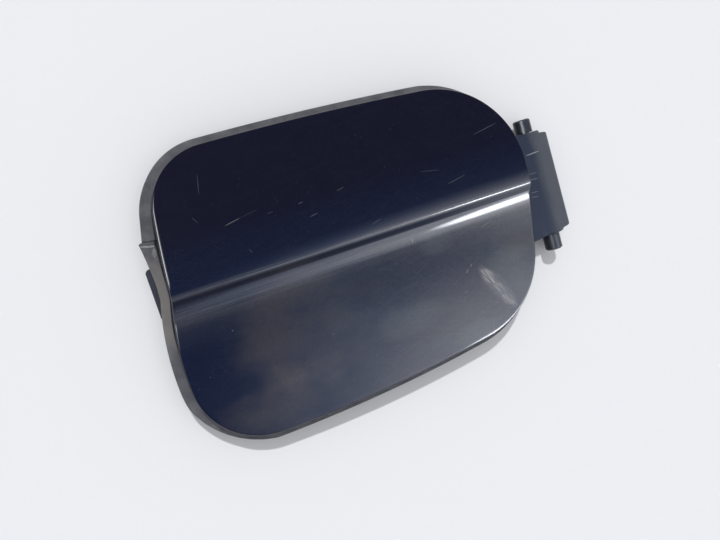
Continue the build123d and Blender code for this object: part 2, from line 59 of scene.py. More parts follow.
# Painted panel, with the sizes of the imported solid
CREASE_HEIGHT = 15.7
CROWN_RADIUS = 2400.0
HINGE_EDGE = -10.7
FREE_EDGE = -184.3
MID_X = (HINGE_EDGE + FREE_EDGE) / 2
TOP_FREE = (FREE_EDGE + 8.3, 61.2)
TOP_HINGE = (HINGE_EDGE, 54.6)
HINGE_KINK = (HINGE_EDGE, 0.0)
BOTTOM_HINGE = (HINGE_EDGE - 10.0, -57.4)
BOTTOM_FREE = (FREE_EDGE, -67.9)
FREE_KINK = (FREE_EDGE, 2.7)
OUTLINE_CORNERS = (TOP_FREE, TOP_HINGE, HINGE_KINK, BOTTOM_HINGE, BOTTOM_FREE, FREE_KINK)
OUTLINE_RADII = (27.2, 43.6, 60.0, 42.1, 31.5, 9.0)
OUTLINE_BOWS = (2.35, 0.0, 0.0, 4.55, 4.9, 1.05)  # bow of the edge that follows each corner
SKIN = 2.0
RIM_DEPTH = 3.4
RIM_WIDTH = 2.0
EDGE_ROUNDING = 0.8
RIM_ROUNDING = 0.3
NOTCH_HALF_LENGTH = 29.8

# Section across the crease: place up the door and height against the crest
UPPER_END = (75.0, -4.3)
UPPER_MID = (40.0, -1.3)
CREST = (7.5, 0.0)
RIDGE = (2.7, -0.38)
STEP_FOOT = (-0.6, -2.68)
FOOT_END = (-4.9, -4.25)
LOWER_MID = (-32.0, -4.15)
LOWER_END = (-84.0, -6.7)
CREST_RADIUS = 40.0
RIDGE_RADIUS = 2.8  # broader than the solid's, as wide as the light along the ridge
GROOVE_RADIUS = 2.0
FOOT_RADIUS = 17.0

# Lip seal
LIP_ROOT = -2.6  # outer wall of the channel, against the panel's edge
LIP_REACH = 3.8
LIP_SHIFT = (-1.2, 0.0)
LIP_EASE = 5.5  # the lip's lower free corner is rounder than the panel's by this much
SEAL_CORNERS = (
    (-7.2, 0.4), (LIP_ROOT, 0.4), (LIP_ROOT, 3.6), (LIP_REACH, 2.2), (LIP_REACH, 3.7), (LIP_ROOT, 5.1),
    (-3.9, 5.1), (-3.9, 1.7), (-5.9, 1.7), (-5.9, 5.1), (-7.2, 5.1),
)
SEAL_RADII = (0.6, 0.6, 0.4, 0.65, 0.65, 0.5, 0.3, 0.25, 0.25, 0.3, 0.3)
TEAR_Y = 28.0
TEAR_GAP = 0.7
TEAR_LENGTH = 20.0  # the lip springs out over this length below the tear
TEAR_FLARE = 3.3
UPPER_TEAR_LENGTH = 26.0  # and over this length above it
UPPER_TEAR_FLARE = 1.9
FLARE_POWER = 1.4
TEAR_CURL = 1.0
CURL_FADE = 2.4
RAGGED_DEPTH = 0.45
RAGGED_FADE = 0.9
RAGGED_TEETH = 3.3  # teeth of the torn edge, as radians for each millimetre across the lip
RAGGED_START = 0.8
LIP_LEFT = 0.05  # share of the lip that is left inside the tear

# Camera and light
CAMERA_PLACE = (-166.1, 25.6, 282.5)
CAMERA_AIM = (-103.3, -10.7, 12.0)
CAMERA_UP = (0.315, 0.9476, -0.0538)
CAMERA_LENS = 31.18
SENSOR_WIDTH = 36.0
CLIP_START = 10.0
SUN_DIRECTION = (0.0, 0.62, 0.785)
SUN_STRENGTH = 1.8
SUN_ANGLE = 1.5
GLOW_DIRECTION = (0.55, -0.46, 0.70)
GLOW_START = 0.62  # cosine of the angle at which the bright corner of the sky begins
GLOW_STRENGTH = 4.3
GLINT_STRENGTH = 28.0
EDGE_LIGHT_DIRECTION = (-0.5, 0.08, 0.862)
EDGE_LIGHT_STRENGTH = 14.0
FLOOR_SIZE = 6000.0
FLOOR_COLOUR = (0.80, 0.81, 0.835, 1)


def turned(vector, angle):
    """The flat vector turned to the left by an angle."""
    c, s = math.cos(angle), math.sin(angle)
    return np.array([c * vector[0] - s * vector[1], s * vector[0] + c * vector[1]])


STRAIGHT = 1e-9  # an edge that sweeps less than this is a line


class Edge:
    """A line, or an arc that bows to its left, from one corner to the next."""

    def __init__(self, start, end, bow=0.0):
        self.start = np.array(start, float)
        chord = np.array(end, float) - self.start
        self.length = float(np.hypot(*chord))
        self.along = chord / self.length
        self.half_sweep = 2 * math.atan2(2 * bow, self.length)

    def point(self, t):
        share = t
        if abs(self.half_sweep) > STRAIGHT:
            share = math.sin(self.half_sweep * t) / math.sin(self.half_sweep)
        return self.start + self.length * share * turned(self.along, self.half_sweep * (1 - t))

    def tangent(self, t):
        return turned(self.along, self.half_sweep * (1 - 2 * t))

    def normal(self, t):
        return turned(self.tangent(t), math.pi / 2)


def bow_through(start, middle, end):
    """Bow of the arc from start to end through a point between them."""
    start, middle, end = (np.array(p, float) for p in (start, middle, end))
    back, on = start - middle, end - middle
    cross = back[0] * on[1] - back[1] * on[0]
    half_sweep = math.pi - math.atan2(abs(cross), float(back @ on))
    chord = np.hypot(*(end - start))
    return math.copysign(chord / 2 * math.tan(half_sweep / 2), cross)


def rounding(first, second, radius):
    """Ends and centre of the arc that rounds the corner between two edges."""
    before, after = first.tangent(1), second.tangent(0)
    side = math.copysign(radius, before[0] * after[1] - before[1] * after[0])
    t = np.array([1.0, 0.0])

    def gap(t):
        here = first.point(t[0]) + side * first.normal(t[0])
        return here - second.point(t[1]) - side * second.normal(t[1])

    small = 1e-5
    tries = 12
    for _ in range(tries):
        miss = gap(t)
        slopes = np.array([(gap(t + small * d) - miss) / small for d in np.eye(2)]).T
        t = t - np.linalg.solve(slopes, miss)
    return t, first.point(t[0]) + side * first.normal(t[0]), side


def rounded_path(corners, bows, radii, closed, step, turn):
    """Points and left-hand normals along a path with rounded corners, and where each corner's middle is.

    A closed path starts in the middle of its first corner.
    """
    count = len(corners)
    edge_count = count if closed else count - 1
    edges = [Edge(corners[i], corners[(i + 1) % count], bows[i]) for i in range(edge_count)]
    rounds = {}
    for i in range(count):
        if closed or 0 < i < count - 1:
            rounds[i] = rounding(edges[i - 1], edges[i], radii[i])
    points, normals, middles = [], [], {}

    def add_arc(i, low, high):
        (t_in, t_out), centre, side = rounds[i]
        first, second = edges[i - 1].normal(t_in), edges[i].normal(t_out)
        sweep = math.atan2(first[0] * second[1] - first[1] * second[0], float(first @ second))
        pieces = max(2, 2 * math.ceil(abs(sweep) / turn / 2))
        for k in range(int(low * pieces), int(high * pieces) + 1):
            if k == pieces // 2:
                middles.setdefault(i, len(points))
            normal = turned(first, sweep * k / pieces)
            points.append(centre - side * normal)
            normals.append(normal)

    if closed:
        add_arc(0, 0.5, 1)
    for i, edge in enumerate(edges):
        begin = rounds[i][0][1] if i in rounds else 0.0
        end = rounds[(i + 1) % count][0][0] if (i + 1) % count in rounds else 1.0
        pieces = max(1, math.ceil((end - begin) * edge.length / step))
        first = 1 if i in rounds else 0
        for t in np.linspace(begin, end, pieces + 1)[first:-1]:
            points.append(edge.point(t))
            normals.append(edge.normal(t))
        if i + 1 in rounds:
            add_arc(i + 1, 0, 1)
    if closed:
        add_arc(0, 0, 0.5)
    else:
        points.append(edges[-1].point(1.0))
        normals.append(edges[-1].normal(1.0))
    return np.array(points), np.array(normals), middles


class Chain:
    """A stretch of a path that is read by its length or by its height up the door."""

    def __init__(self, points, normals):
        self.points = points
        self.normals = normals
        steps = np.hypot(*np.diff(points, axis=0).T)
        self.lengths = np.concatenate([[0.0], np.cumsum(steps)])

    def read(self, places, keys):
        order = np.argsort(keys)
        columns = np.hstack([self.points, self.normals])[order]
        values = np.array([np.interp(places, keys[order], column) for column in columns.T]).T
        normals = values[:, 2:] / np.hypot(*values[:, 2:].T)[:, None]
        return values[:, :2], normals

    def at_length(self, places):
        return self.read(places, self.lengths)

    def at_height(self, places):
        return self.read(places, self.points[:, 1])


# Distance between the points of each path, and the turn between those round a corner
SECTION_STEP = 0.25
SECTION_TURN = math.radians(3)
OUTLINE_STEP = 0.6
OUTLINE_TURN = math.radians(1.5)
SEAL_SECTION_STEP = 0.7
SEAL_SECTION_TURN = math.radians(22)


def section_heights():
    """Height of the painted face against its crest, as places up the door and heights there."""
    corners = (UPPER_END, CREST, RIDGE, STEP_FOOT, FOOT_END, LOWER_END)
    bows = (bow_through(UPPER_END, UPPER_MID, CREST), 0, 0, 0, bow_through(FOOT_END, LOWER_MID, LOWER_END))
    radii = (0, CREST_RADIUS, RIDGE_RADIUS, GROOVE_RADIUS, FOOT_RADIUS, 0)
    points, _, _ = rounded_path(corners, bows, radii, False, SECTION_STEP, SECTION_TURN)
    return points[::-1, 0], points[::-1, 1]


SECTION_Y, SECTION_Z = section_heights()


def face_height(x, y):
    """Height of the painted face over the hinge axis."""
    reach = CROWN_RADIUS + CREASE_HEIGHT + np.interp(y, SECTION_Y, SECTION_Z)
    return np.sqrt(reach**2 - (x - MID_X) ** 2) - CROWN_RADIUS


outline_points, outline_normals, corner_at = rounded_path(
    OUTLINE_CORNERS, OUTLINE_BOWS, OUTLINE_RADII, True, OUTLINE_STEP, OUTLINE_TURN
)


def outline_chain(first, last):
    """Outline from the middle of one corner to the middle of another."""
    begin = corner_at[first]
    end = corner_at[last] if last else len(outline_points) - 1
    return Chain(outline_points[begin : end + 1], outline_normals[begin : end + 1])


top_chain = outline_chain(0, 1)
hinge_chain = outline_chain(1, 3)
bottom_chain = outline_chain(3, 4)
free_chain = outline_chain(4, 0)


def mesh_piece(name, vertices, faces, material, body):
    """New smooth piece, with its points given in millimetres."""
    mesh = bpy.data.meshes.new(name)
    mesh.from_pydata((np.asarray(vertices) * MM).tolist(), [], faces)
    shaped = bmesh.new()
    shaped.from_mesh(mesh)
    bmesh.ops.recalc_face_normals(shaped, faces=shaped.faces)
    shaped.to_mesh(mesh)
    shaped.free()
    mesh.shade_smooth()
    mesh.materials.append(material)
    piece = bpy.data.objects.new(name, mesh)
    bpy.context.scene.collection.objects.link(piece)
    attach(piece, body)
    return piece


def grid_faces(indices):
    """Quads between the rows and columns of a table of vertex numbers."""
    corners = (indices[:-1, :-1], indices[:-1, 1:], indices[1:, 1:], indices[1:, :-1])
    return np.stack(corners, axis=-1).reshape(-1, 4).tolist()


# Rows and columns of the panel's mesh
PANEL_COLUMNS = 170
UPPER_ROWS = 36
LOWER_ROWS = 42
STRIP_TOP = 11.0  # the straight rows along the crease lie between these two heights
STRIP_BOTTOM = -10.0
EDGE_STEPS = (18, 36, 54, 72, 90)  # degrees round the panel's rounded edge


def patch(base, far, left, right):
    """Points spread evenly between four sides; base and far run from left to right."""
    u = np.linspace(0, 1, len(base))[None, :, None]
    v = np.linspace(0, 1, len(left))[:, None, None]
    sides = (1 - v) * base + v * far + (1 - u) * left[:, None] + u * right[:, None]
    corners = (1 - u) * (1 - v) * base[0] + u * (1 - v) * base[-1] + (1 - u) * v * far[0] + u * v * far[-1]
    return sides - corners


def panel_border():
    """Outline points and normals at the ends of the panel's rows and columns."""
    strip = SECTION_Y[(SECTION_Y > STRIP_BOTTOM) & (SECTION_Y < STRIP_TOP)]
    border = {}
    for side, chain in (("left", free_chain), ("right", hinge_chain)):
        low, high = chain.points[:, 1].min(), chain.points[:, 1].max()
        lower = np.linspace(low, strip[0], LOWER_ROWS)[:-1]
        upper = np.linspace(strip[-1], high, UPPER_ROWS)[1:]
        heights = np.concatenate([lower, strip, upper])
        border[side] = chain.at_height(heights)
    for side, chain in (("bottom", bottom_chain), ("top", top_chain)):
        places = np.linspace(0, chain.lengths[-1], PANEL_COLUMNS)
        border[side] = chain.at_length(places[::-1] if side == "bottom" else places)
    return border, LOWER_ROWS - 1, LOWER_ROWS - 2 + len(strip)


def panel_sheet(border, first_row, last_row, inset):
    """Plan of the panel's rows and columns, inside the outline by inset."""
    sides = {side: points - inset * normals for side, (points, normals) in border.items()}
    left, right = sides["left"], sides["right"]
    shares = np.linspace(0, 1, PANEL_COLUMNS)[None, :, None]
    rows = slice(first_row, last_row + 1)
    strip = left[rows, None] * (1 - shares) + right[rows, None] * shares
    lower = patch(strip[0], sides["bottom"], left[first_row::-1], right[first_row::-1])[::-1]
    upper = patch(strip[-1], sides["top"], left[last_row:], right[last_row:])
    return np.concatenate([lower[:-1], strip, upper[1:]])


def rim_of(table):
    """Vertex numbers round the border of a table, once round."""
    return np.concatenate([table[0, :-1], table[:-1, -1], table[-1, :0:-1], table[:0:-1, 0]])


def painted_panel(material):
    """Crowned, creased skin with a rounded edge and a turned rim that stops at the hinge."""
    border, first_row, last_row = panel_border()
    sheets = []
    for inset, drop in ((EDGE_ROUNDING, 0.0), (RIM_WIDTH, SKIN)):
        plan = panel_sheet(border, first_row, last_row, inset)
        heights = face_height(plan[..., 0], plan[..., 1]) - drop
        sheets.append(np.concatenate([plan, heights[..., None]], axis=-1))
    shape = sheets[0].shape[:2]
    sheet_size = shape[0] * shape[1]
    tables = [np.arange(sheet_size).reshape(shape) + k * sheet_size for k in (0, 1)]
    vertices = [sheet.reshape(-1, 3) for sheet in sheets]
    faces = grid_faces(tables[0]) + grid_faces(tables[1][:, ::-1])

    bottom, right, top, left = (border[side] for side in ("bottom", "right", "top", "left"))
    rim_points, rim_normals = (
        np.concatenate([bottom[k][:-1], right[k][:-1], top[k][:0:-1], left[k][:0:-1]]) for k in (0, 1)
    )
    at_hinge = (np.abs(rim_points[:, 1]) < NOTCH_HALF_LENGTH) & (rim_points[:, 0] > MID_X)
    depth = np.where(at_hinge, SKIN, RIM_DEPTH)
    loops = []
    for angle in np.radians(EDGE_STEPS):
        loops.append((EDGE_ROUNDING * (1 - math.sin(angle)), EDGE_ROUNDING * (1 - math.cos(angle))))
    loops.append((0.0, depth - RIM_ROUNDING))
    loops.append((RIM_ROUNDING, depth))
    loops.append((RIM_WIDTH - RIM_ROUNDING, depth))
    loops.append((RIM_WIDTH, np.maximum(depth - RIM_ROUNDING, SKIN)))
    rings = [rim_of(tables[0])]
    start = 2 * sheet_size
    for inset, drop in loops:
        plan = rim_points - inset * rim_normals
        heights = face_height(plan[:, 0], plan[:, 1]) - drop
        vertices.append(np.column_stack([plan, heights]))
        rings.append(np.arange(len(plan)) + start)
        start += len(plan)
    rings.append(rim_of(tables[1]))
    rings = np.array(rings)
    faces += grid_faces(np.hstack([rings, rings[:, :1]])[::-1])
    panel = mesh_piece("painted_panel", np.concatenate(vertices), faces, material, "door")
    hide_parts("outer_panel")


# Stations along the seal, close together on both sides of the tear
SEAL_STEP = 1.2
TEAR_STATIONS = (0.0, 0.08, 0.2, 0.4, 0.7, 1.1, 1.6, 2.2, 3.0)
TEAR_CLEAR = 3.5  # no even station lies closer to the tear than this
TEAR_WALL = 0.02  # length over which the lip drops to what is left of it in the tear


def seal_path():
    """Outline from the hinge's upper side, over the top and the free edge, to its lower side."""
    turn_at = corner_at[2]
    points = np.roll(outline_points[:-1], -turn_at, axis=0)[::-1]
    normals = np.roll(outline_normals[:-1], -turn_at, axis=0)[::-1]
    clear = ~((np.abs(points[:, 1]) < NOTCH_HALF_LENGTH) & (points[:, 0] > MID_X))
    return Chain(points[clear], normals[clear])


def corner_ease(normals):
    """How far the lip draws in round its lower free corner."""
    before = Edge(BOTTOM_HINGE, BOTTOM_FREE, OUTLINE_BOWS[3]).normal(1.0)
    after = Edge(BOTTOM_FREE, FREE_KINK, OUTLINE_BOWS[4]).normal(0.0)
    middle = (before + after) / np.hypot(*(before + after))
    return LIP_EASE * np.clip(normals @ middle / (before @ middle) - 1, 0, None)


def flare(distances, length):
    """Share of the flare at distances from the tear, which are below 0 on its other side."""
    return np.where(distances >= 0, np.clip(1 - distances / length, 0, 1) ** FLARE_POWER, 0.0)


def lip_seal(material):
    """Channel with a drooping lip, swept along the outline; the lip is torn on the free edge."""
    path = seal_path()
    straight = (0,) * len(SEAL_CORNERS)
    section, _, _ = rounded_path(
        SEAL_CORNERS, straight, SEAL_RADII, True, SEAL_SECTION_STEP, SEAL_SECTION_TURN
    )
    section = section[:-1]
    on_lip = np.clip((section[:, 0] - LIP_ROOT) / (LIP_REACH - LIP_ROOT), 0, 1)

    free = path.points[:, 0] < MID_X
    tear_at = float(np.interp(-TEAR_Y, -path.points[free][:, 1], path.lengths[free]))
    upper_end, lower_end = tear_at - TEAR_GAP, tear_at
    stations = list(np.arange(0, path.lengths[-1], SEAL_STEP)) + [path.lengths[-1]]
    stations = [s for s in stations if not upper_end - TEAR_CLEAR < s < lower_end + TEAR_CLEAR]
    stations += [upper_end - d for d in TEAR_STATIONS]
    stations += [lower_end + d for d in TEAR_STATIONS]
    stations += [upper_end + TEAR_WALL, lower_end - TEAR_WALL]
    stations = np.array(sorted(stations))
    points, normals = path.at_length(stations)
    along = np.column_stack([-normals[:, 1], normals[:, 0]])

    below, above = stations - lower_end, upper_end - stations
    sprung = TEAR_FLARE * flare(below, TEAR_LENGTH) + UPPER_TEAR_FLARE * flare(above, UPPER_TEAR_LENGTH)
    curl = np.where(below >= 0, np.exp(-np.clip(below, 0, None) / CURL_FADE), 0.0) * TEAR_CURL
    torn = (above < -TEAR_WALL / 2) & (below < -TEAR_WALL / 2)
    near = np.minimum(np.abs(above), np.abs(below))
    ragged = RAGGED_DEPTH * np.exp(-near / RAGGED_FADE)
    ease = corner_ease(normals)

    vertices = []
    reaches = []
    for k in range(len(stations)):
        reach = section[:, 0].copy()
        if torn[k]:
            reach = np.where(on_lip > 0, LIP_ROOT + LIP_LEFT * (reach - LIP_ROOT), reach)
        jagged = ragged[k] * on_lip * np.sin(RAGGED_TEETH * section[:, 0] + RAGGED_START)
        plan = points[k] + normals[k] * (reach + (sprung[k] - ease[k]) * on_lip)[:, None]
        plan = plan + np.outer(on_lip * (0 if torn[k] else 1), LIP_SHIFT) + np.outer(jagged, along[k])
        heights = section[:, 1] + curl[k] * on_lip**2
        vertices.append(np.column_stack([plan, heights]))
        reaches.append(reach)
    table = np.arange(len(stations) * len(section)).reshape(len(stations), len(section))
    faces = grid_faces(np.hstack([table, table[:, :1]]))
    faces.append(table[0].tolist())
    faces.append(table[-1, ::-1].tolist())
    seal = mesh_piece("torn_lip_seal", np.concatenate(vertices), faces, material, "door")
    reach_of_vertex = seal.data.attributes.new("reach", "FLOAT", "POINT")
    reach_of_vertex.data.foreach_set("value", np.concatenate(reaches).astype(np.float32))
    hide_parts("lip_seal")


# Shader helpers
UPRIGHT_STRETCH = 50.0  # hairlines hardly change with the height of the face


class Signal:
    """A shader socket that takes part in Python arithmetic."""

    def __init__(self, shading, socket):
        self.shading = shading
        self.socket = socket

    def math(self, operation, *values):
        return self.shading.add("ShaderNodeMath", {"operation": operation}, dict(enumerate(values)))

    def __add__(self, other):
        return self.math("ADD", self, other)

    def __sub__(self, other):
        return self.math("SUBTRACT", self, other)

    def __rsub__(self, other):
        return self.math("SUBTRACT", other, self)

    def __mul__(self, other):
        return self.math("MULTIPLY", self, other)

    def __truediv__(self, other):
        return self.math("DIVIDE", self, other)

    def __pow__(self, other):
        return self.math("POWER", self, other)

    __radd__ = __add__
    __rmul__ = __mul__

    def least(self, other):
        return self.math("MINIMUM", self, other)

    def most(self, other):
        return self.math("MAXIMUM", self, other)

    def held(self):
        return self.most(0.0).least(1.0)

    def over(self, least):
        """The signal raised so that it runs from least to 1."""
        return least + self * (1 - least)

    def band(self, start, full_from, full_to, end):
        """1 between two values, fading to 0 outside them."""
        return self.ramp(start, full_from) * self.ramp(end, full_to)

    def ramp(self, low, high):
        """0 below low and 1 above high, smooth between them; the two may be the other way round."""
        settings = {"interpolation_type": "SMOOTHSTEP"}
        inputs = {"Value": self, "From Min": low, "From Max": high}
        return self.shading.add("ShaderNodeMapRange", settings, inputs)


class Shading:
    """A node tree that is filled by one method."""

    def __init__(self, tree):
        self.tree = tree

    def add(self, kind, settings=None, inputs=None, output=0):
        node = self.tree.nodes.new(kind)
        for name, value in (settings or {}).items():
            setattr(node, name, value)
        self.feed(node, inputs or {})
        return Signal(self, node.outputs[output])

    def feed(self, node, inputs):
        for name, value in inputs.items():
            if isinstance(value, Signal):
                self.tree.links.new(value.socket, node.inputs[name])
            else:
                node.inputs[name].default_value = value

    def place(self):
        """Place on the object in millimetres."""
        metres = self.add("ShaderNodeTexCoord", output="Object")
        return self.add("ShaderNodeVectorMath", {"operation": "SCALE"}, {0: metres, "Scale": 1 / MM})

    def parts(self, vector):
        return [self.add("ShaderNodeSeparateXYZ", None, {0: vector}, k) for k in range(3)]

    def noise(self, place, size, detail=2.0, roughness=0.5):
        """Soft noise whose blotches are about size across; size may be one number or one for each axis."""
        sizes = size if isinstance(size, tuple) else (size,) * 3
        scaled = self.add("ShaderNodeVectorMath", {"operation": "DIVIDE"}, {0: place, 1: sizes})
        inputs = {0: scaled, "Scale": 1.0, "Detail": detail, "Roughness": roughness}
        return self.add("ShaderNodeTexNoise", None, inputs)

    def hairlines(self, place, angle, length, width, low, high):
        """Fine parallel scratches: noise drawn out along one direction and cut to thin lines."""
        drawn = self.add(
            "ShaderNodeMapping",
            {"vector_type": "TEXTURE"},
            {0: place, "Rotation": (0, 0, math.radians(angle)), "Scale": (length, width, UPRIGHT_STRETCH)},
        )
        return self.add("ShaderNodeTexNoise", None, {0: drawn, "Scale": 1.0, "Detail": 1.0}).ramp(low, high)

    def mix(self, share, first, second):
        """Colour between two colours, by share; the numbers are the node's sockets for colour."""
        return self.add("ShaderNodeMix", {"data_type": "RGBA"}, {0: share, 6: first, 7: second}, 2)

    def bump(self, height, distance, strength=1.0):
        """Normal of a relief whose height is in millimetres at distance 1."""
        inputs = {"Height": height, "Distance": distance * MM, "Strength": strength}
        return self.add("ShaderNodeBump", None, inputs)


class Finish(Shading):
    """A material with one surface shader, whose fixed values are set on its own sockets."""

    def __init__(self, name, **fixed):
        self.material = bpy.data.materials.new(name)
        self.material.use_nodes = True
        super().__init__(self.material.node_tree)
        self.shader = self.tree.nodes["Principled BSDF"]
        self.set(**fixed)

    def set(self, **values):
        self.feed(self.shader, {name.replace("_", " "): value for name, value in values.items()})


def grey(level, blue=1.0):
    """Neutral colour, or a colder one where blue is over 1."""
    return (level, level, level * blue, 1.0)


def stroke(x, y, start, end, width, blunt=0.0):
    """Mask of a straight scratch that thins towards both ends.

    blunt is the share of its squared width that is left there.
    """
    run = (end[0] - start[0], end[1] - start[1])
    span = run[0] ** 2 + run[1] ** 2
    along = (((x - start[0]) * run[0] + (y - start[1]) * run[1]) / span).held()
    off_x = x - start[0] - along * run[0]
    off_y = y - start[1] - along * run[1]
    share = along * (1 - along) * (4 - 4 * blunt) + blunt
    return (off_x * off_x + off_y * off_y).ramp(share * width**2, 0.0)


# Scratches and nicks on the paint: ends, width and strength
SCRATCHES = (
    ((-158.0, 49.3), (-159.9, 41.2), 0.21, 0.10),
    ((-153.9, 25.8), (-146.9, 27.1), 0.24, 0.25),
    ((-146.9, 27.1), (-138.6, 28.5), 0.20, 0.05),
    ((-165.6, 32.9), (-163.9, 30.3), 0.20, 0.11),
    ((-135.6, 25.4), (-132.8, 25.7), 0.20, 0.08),
    ((-121.6, 25.6), (-119.3, 25.8), 0.20, 0.16),
    ((-118.4, 18.7), (-114.5, 19.4), 0.20, 0.17),
    ((-103.5, 26.0), (-99.9, 26.8), 0.20, 0.14),
    ((-147.4, 13.6), (-146.6, 11.5), 0.20, 0.10),
    ((-92.8, 7.4), (-88.1, 8.5), 0.22, 0.11),
    ((-64.0, 23.2), (-54.5, 21.4), 0.20, 0.08),
    ((-52.7, 14.2), (-43.3, 15.8), 0.22, 0.14),
    ((-33.7, 32.2), (-20.5, 34.4), 0.20, 0.14),
    ((-75.5, -4.7), (-75.6, -7.1), 0.35, 0.23),
    ((-50.4, -25.2), (-51.4, -26.4), 0.32, 0.27),
    ((-52.7, -27.2), (-54.5, -28.7), 0.32, 0.27),
    ((-57.8, -37.6), (-55.9, -36.4), 0.22, 0.20),
    ((-40.9, -10.5), (-34.3, -8.6), 0.22, 0.16),
    ((-164.9, -17.7), (-164.6, -18.1), 0.32, 0.36),
    ((-123.7, -34.1), (-123.3, -34.5), 0.32, 0.27),
)
# Bright streak near the lower hinge corner, in the same way: brush marks in the clear coat with a painted
# highlight over them
BRUSHED_HIGHLIGHT = (
    ((-46.4, -29.4), (-34.0, -50.8), 6.4, 0.20),
    ((-45.8, -30.4), (-42.2, -36.4), 4.4, 0.40),
    ((-42.0, -37.6), (-37.2, -45.4), 3.0, 0.22),
    ((-38.6, -45.4), (-34.8, -50.0), 3.6, 0.28),
)
BRUSHED_HIGHLIGHT_BLUNT = 0.2
# Brush marks in that streak: angle, length and width
BRUSHED_HIGHLIGHT_MARKS = (-60.0, 6.0, 0.5)
# Brownish clouding in the lower half: middle, half width and half height
STAINS = (
    ((-136.0, -27.0), 34.0, 30.0),
    ((-150.0, -57.0), 30.0, 18.0),
    ((-22.0, -19.0), 16.0, 13.0),
)
# Pale smudges there, in the same way
SMUDGES = (
    ((-87.0, -40.0), 19.0, 9.0),
    ((-55.0, -59.0), 14.0, 8.0),
    ((-65.0, -10.0), 9.0, 6.0),
    ((-30.0, -36.0), 17.0, 15.0),
)
SPOT_WANDER = 2.2
SPOT_FADE = (1.2, -0.3)  # squared distance from a spot's middle, in its half sizes
# Zones of the paint up the door, hazed by polishing and painted lighter as sheen and highlight along the
# crease: start, full from, full to and end
RIDGE_HAZE_AND_SHEEN = (1.3, 2.3, 3.5, 5.0)
RIDGE_WEAR_AND_HIGHLIGHT = (1.4, 2.4, 3.2, 4.6)
STEP_WEAR_AND_SHEEN = (-1.2, 0.2, 1.6, 2.6)
VALLEY_HAZE_AND_SHEEN = (-12.5, -5.5, -1.4, 0.8)
HINGE_END_WEAR_AND_SHEEN = (-24.0, -5.0, -5.0, -1.0)
# Where the painted sheen and highlight and the clouding set in towards the hinge: start and full
RIDGE_HIGHLIGHT_ALONG = (-130.0, -40.0)
STEP_SHEEN_ALONG = (-72.0, -14.0)
HINGE_END_ALONG = (-95.0, -14.0)
HINGE_END_CLOSE = (-58.0, -14.0)
CLOUD_ALONG = (-178.0, -110.0)
HAIRLINES_ALONG = (-150.0, -70.0)
# Where the lower half and its bluer lacquer set in, down the door
LOWER_HALF = (-1.0, -9.0)
LOWER_LACQUER_FADE = (34.0, 4.0)
# Hairlines in the paint: angle, length and width of each direction
HAIRLINES = ((6, 30, 0.16), (24, 22, 0.15), (-20, 18, 0.15), (64, 11, 0.15), (-52, 12, 0.15))
HAIRLINE_CUT = (0.62, 0.74)
HAIRLINE_DEPTH = 0.003
SCRATCH_DEPTH = 0.02
# Size of the blotches of each noise, all round or along each axis
DUST_SIZE = 1.3
SPECK_SIZE = 0.8
STREAK_SIZE = (48.0, 0.8, 8.0)
WANDER_SIZE = (24.0, 17.0, 9.0)
CLOUD_SIZE = (26.0, 15.0, 20.0)
TINT_SIZE = (34.0, 22.0, 9.0)
# Strength of the marks, the haze with its painted sheen and highlight, and the clouding
SPECK_STRENGTH = 0.1
RIDGE_SHEEN_STRENGTH = 1.6
RIDGE_HIGHLIGHT_STRENGTH = 2.2
STEP_SHEEN_STRENGTH = 0.65
HAIRLINE_STRENGTH = 0.2
STAIN_STRENGTH = 1.15
SMUDGE_STRENGTH = 0.7
# Colours of the paint
UPPER_LACQUER = (0.0030, 0.0030, 0.0098, 1)
LOWER_LACQUER = (0.0036, 0.0068, 0.0220, 1)
BLUE_VEIL = (0.016, 0.026, 0.044, 1)
GREY_VEIL = (0.026, 0.027, 0.033, 1)
STAIN_COLOUR = (0.051, 0.047, 0.048, 1)
SMUDGE_COLOUR = (0.062, 0.076, 0.084, 1)
# The haze colour is partly hazed lacquer and partly painted sheen and highlight along the crease
HAZE_AND_SHEEN_COLOUR = (0.13, 0.135, 0.145, 1)
SCRATCH_COLOUR = (0.42, 0.42, 0.43, 1)


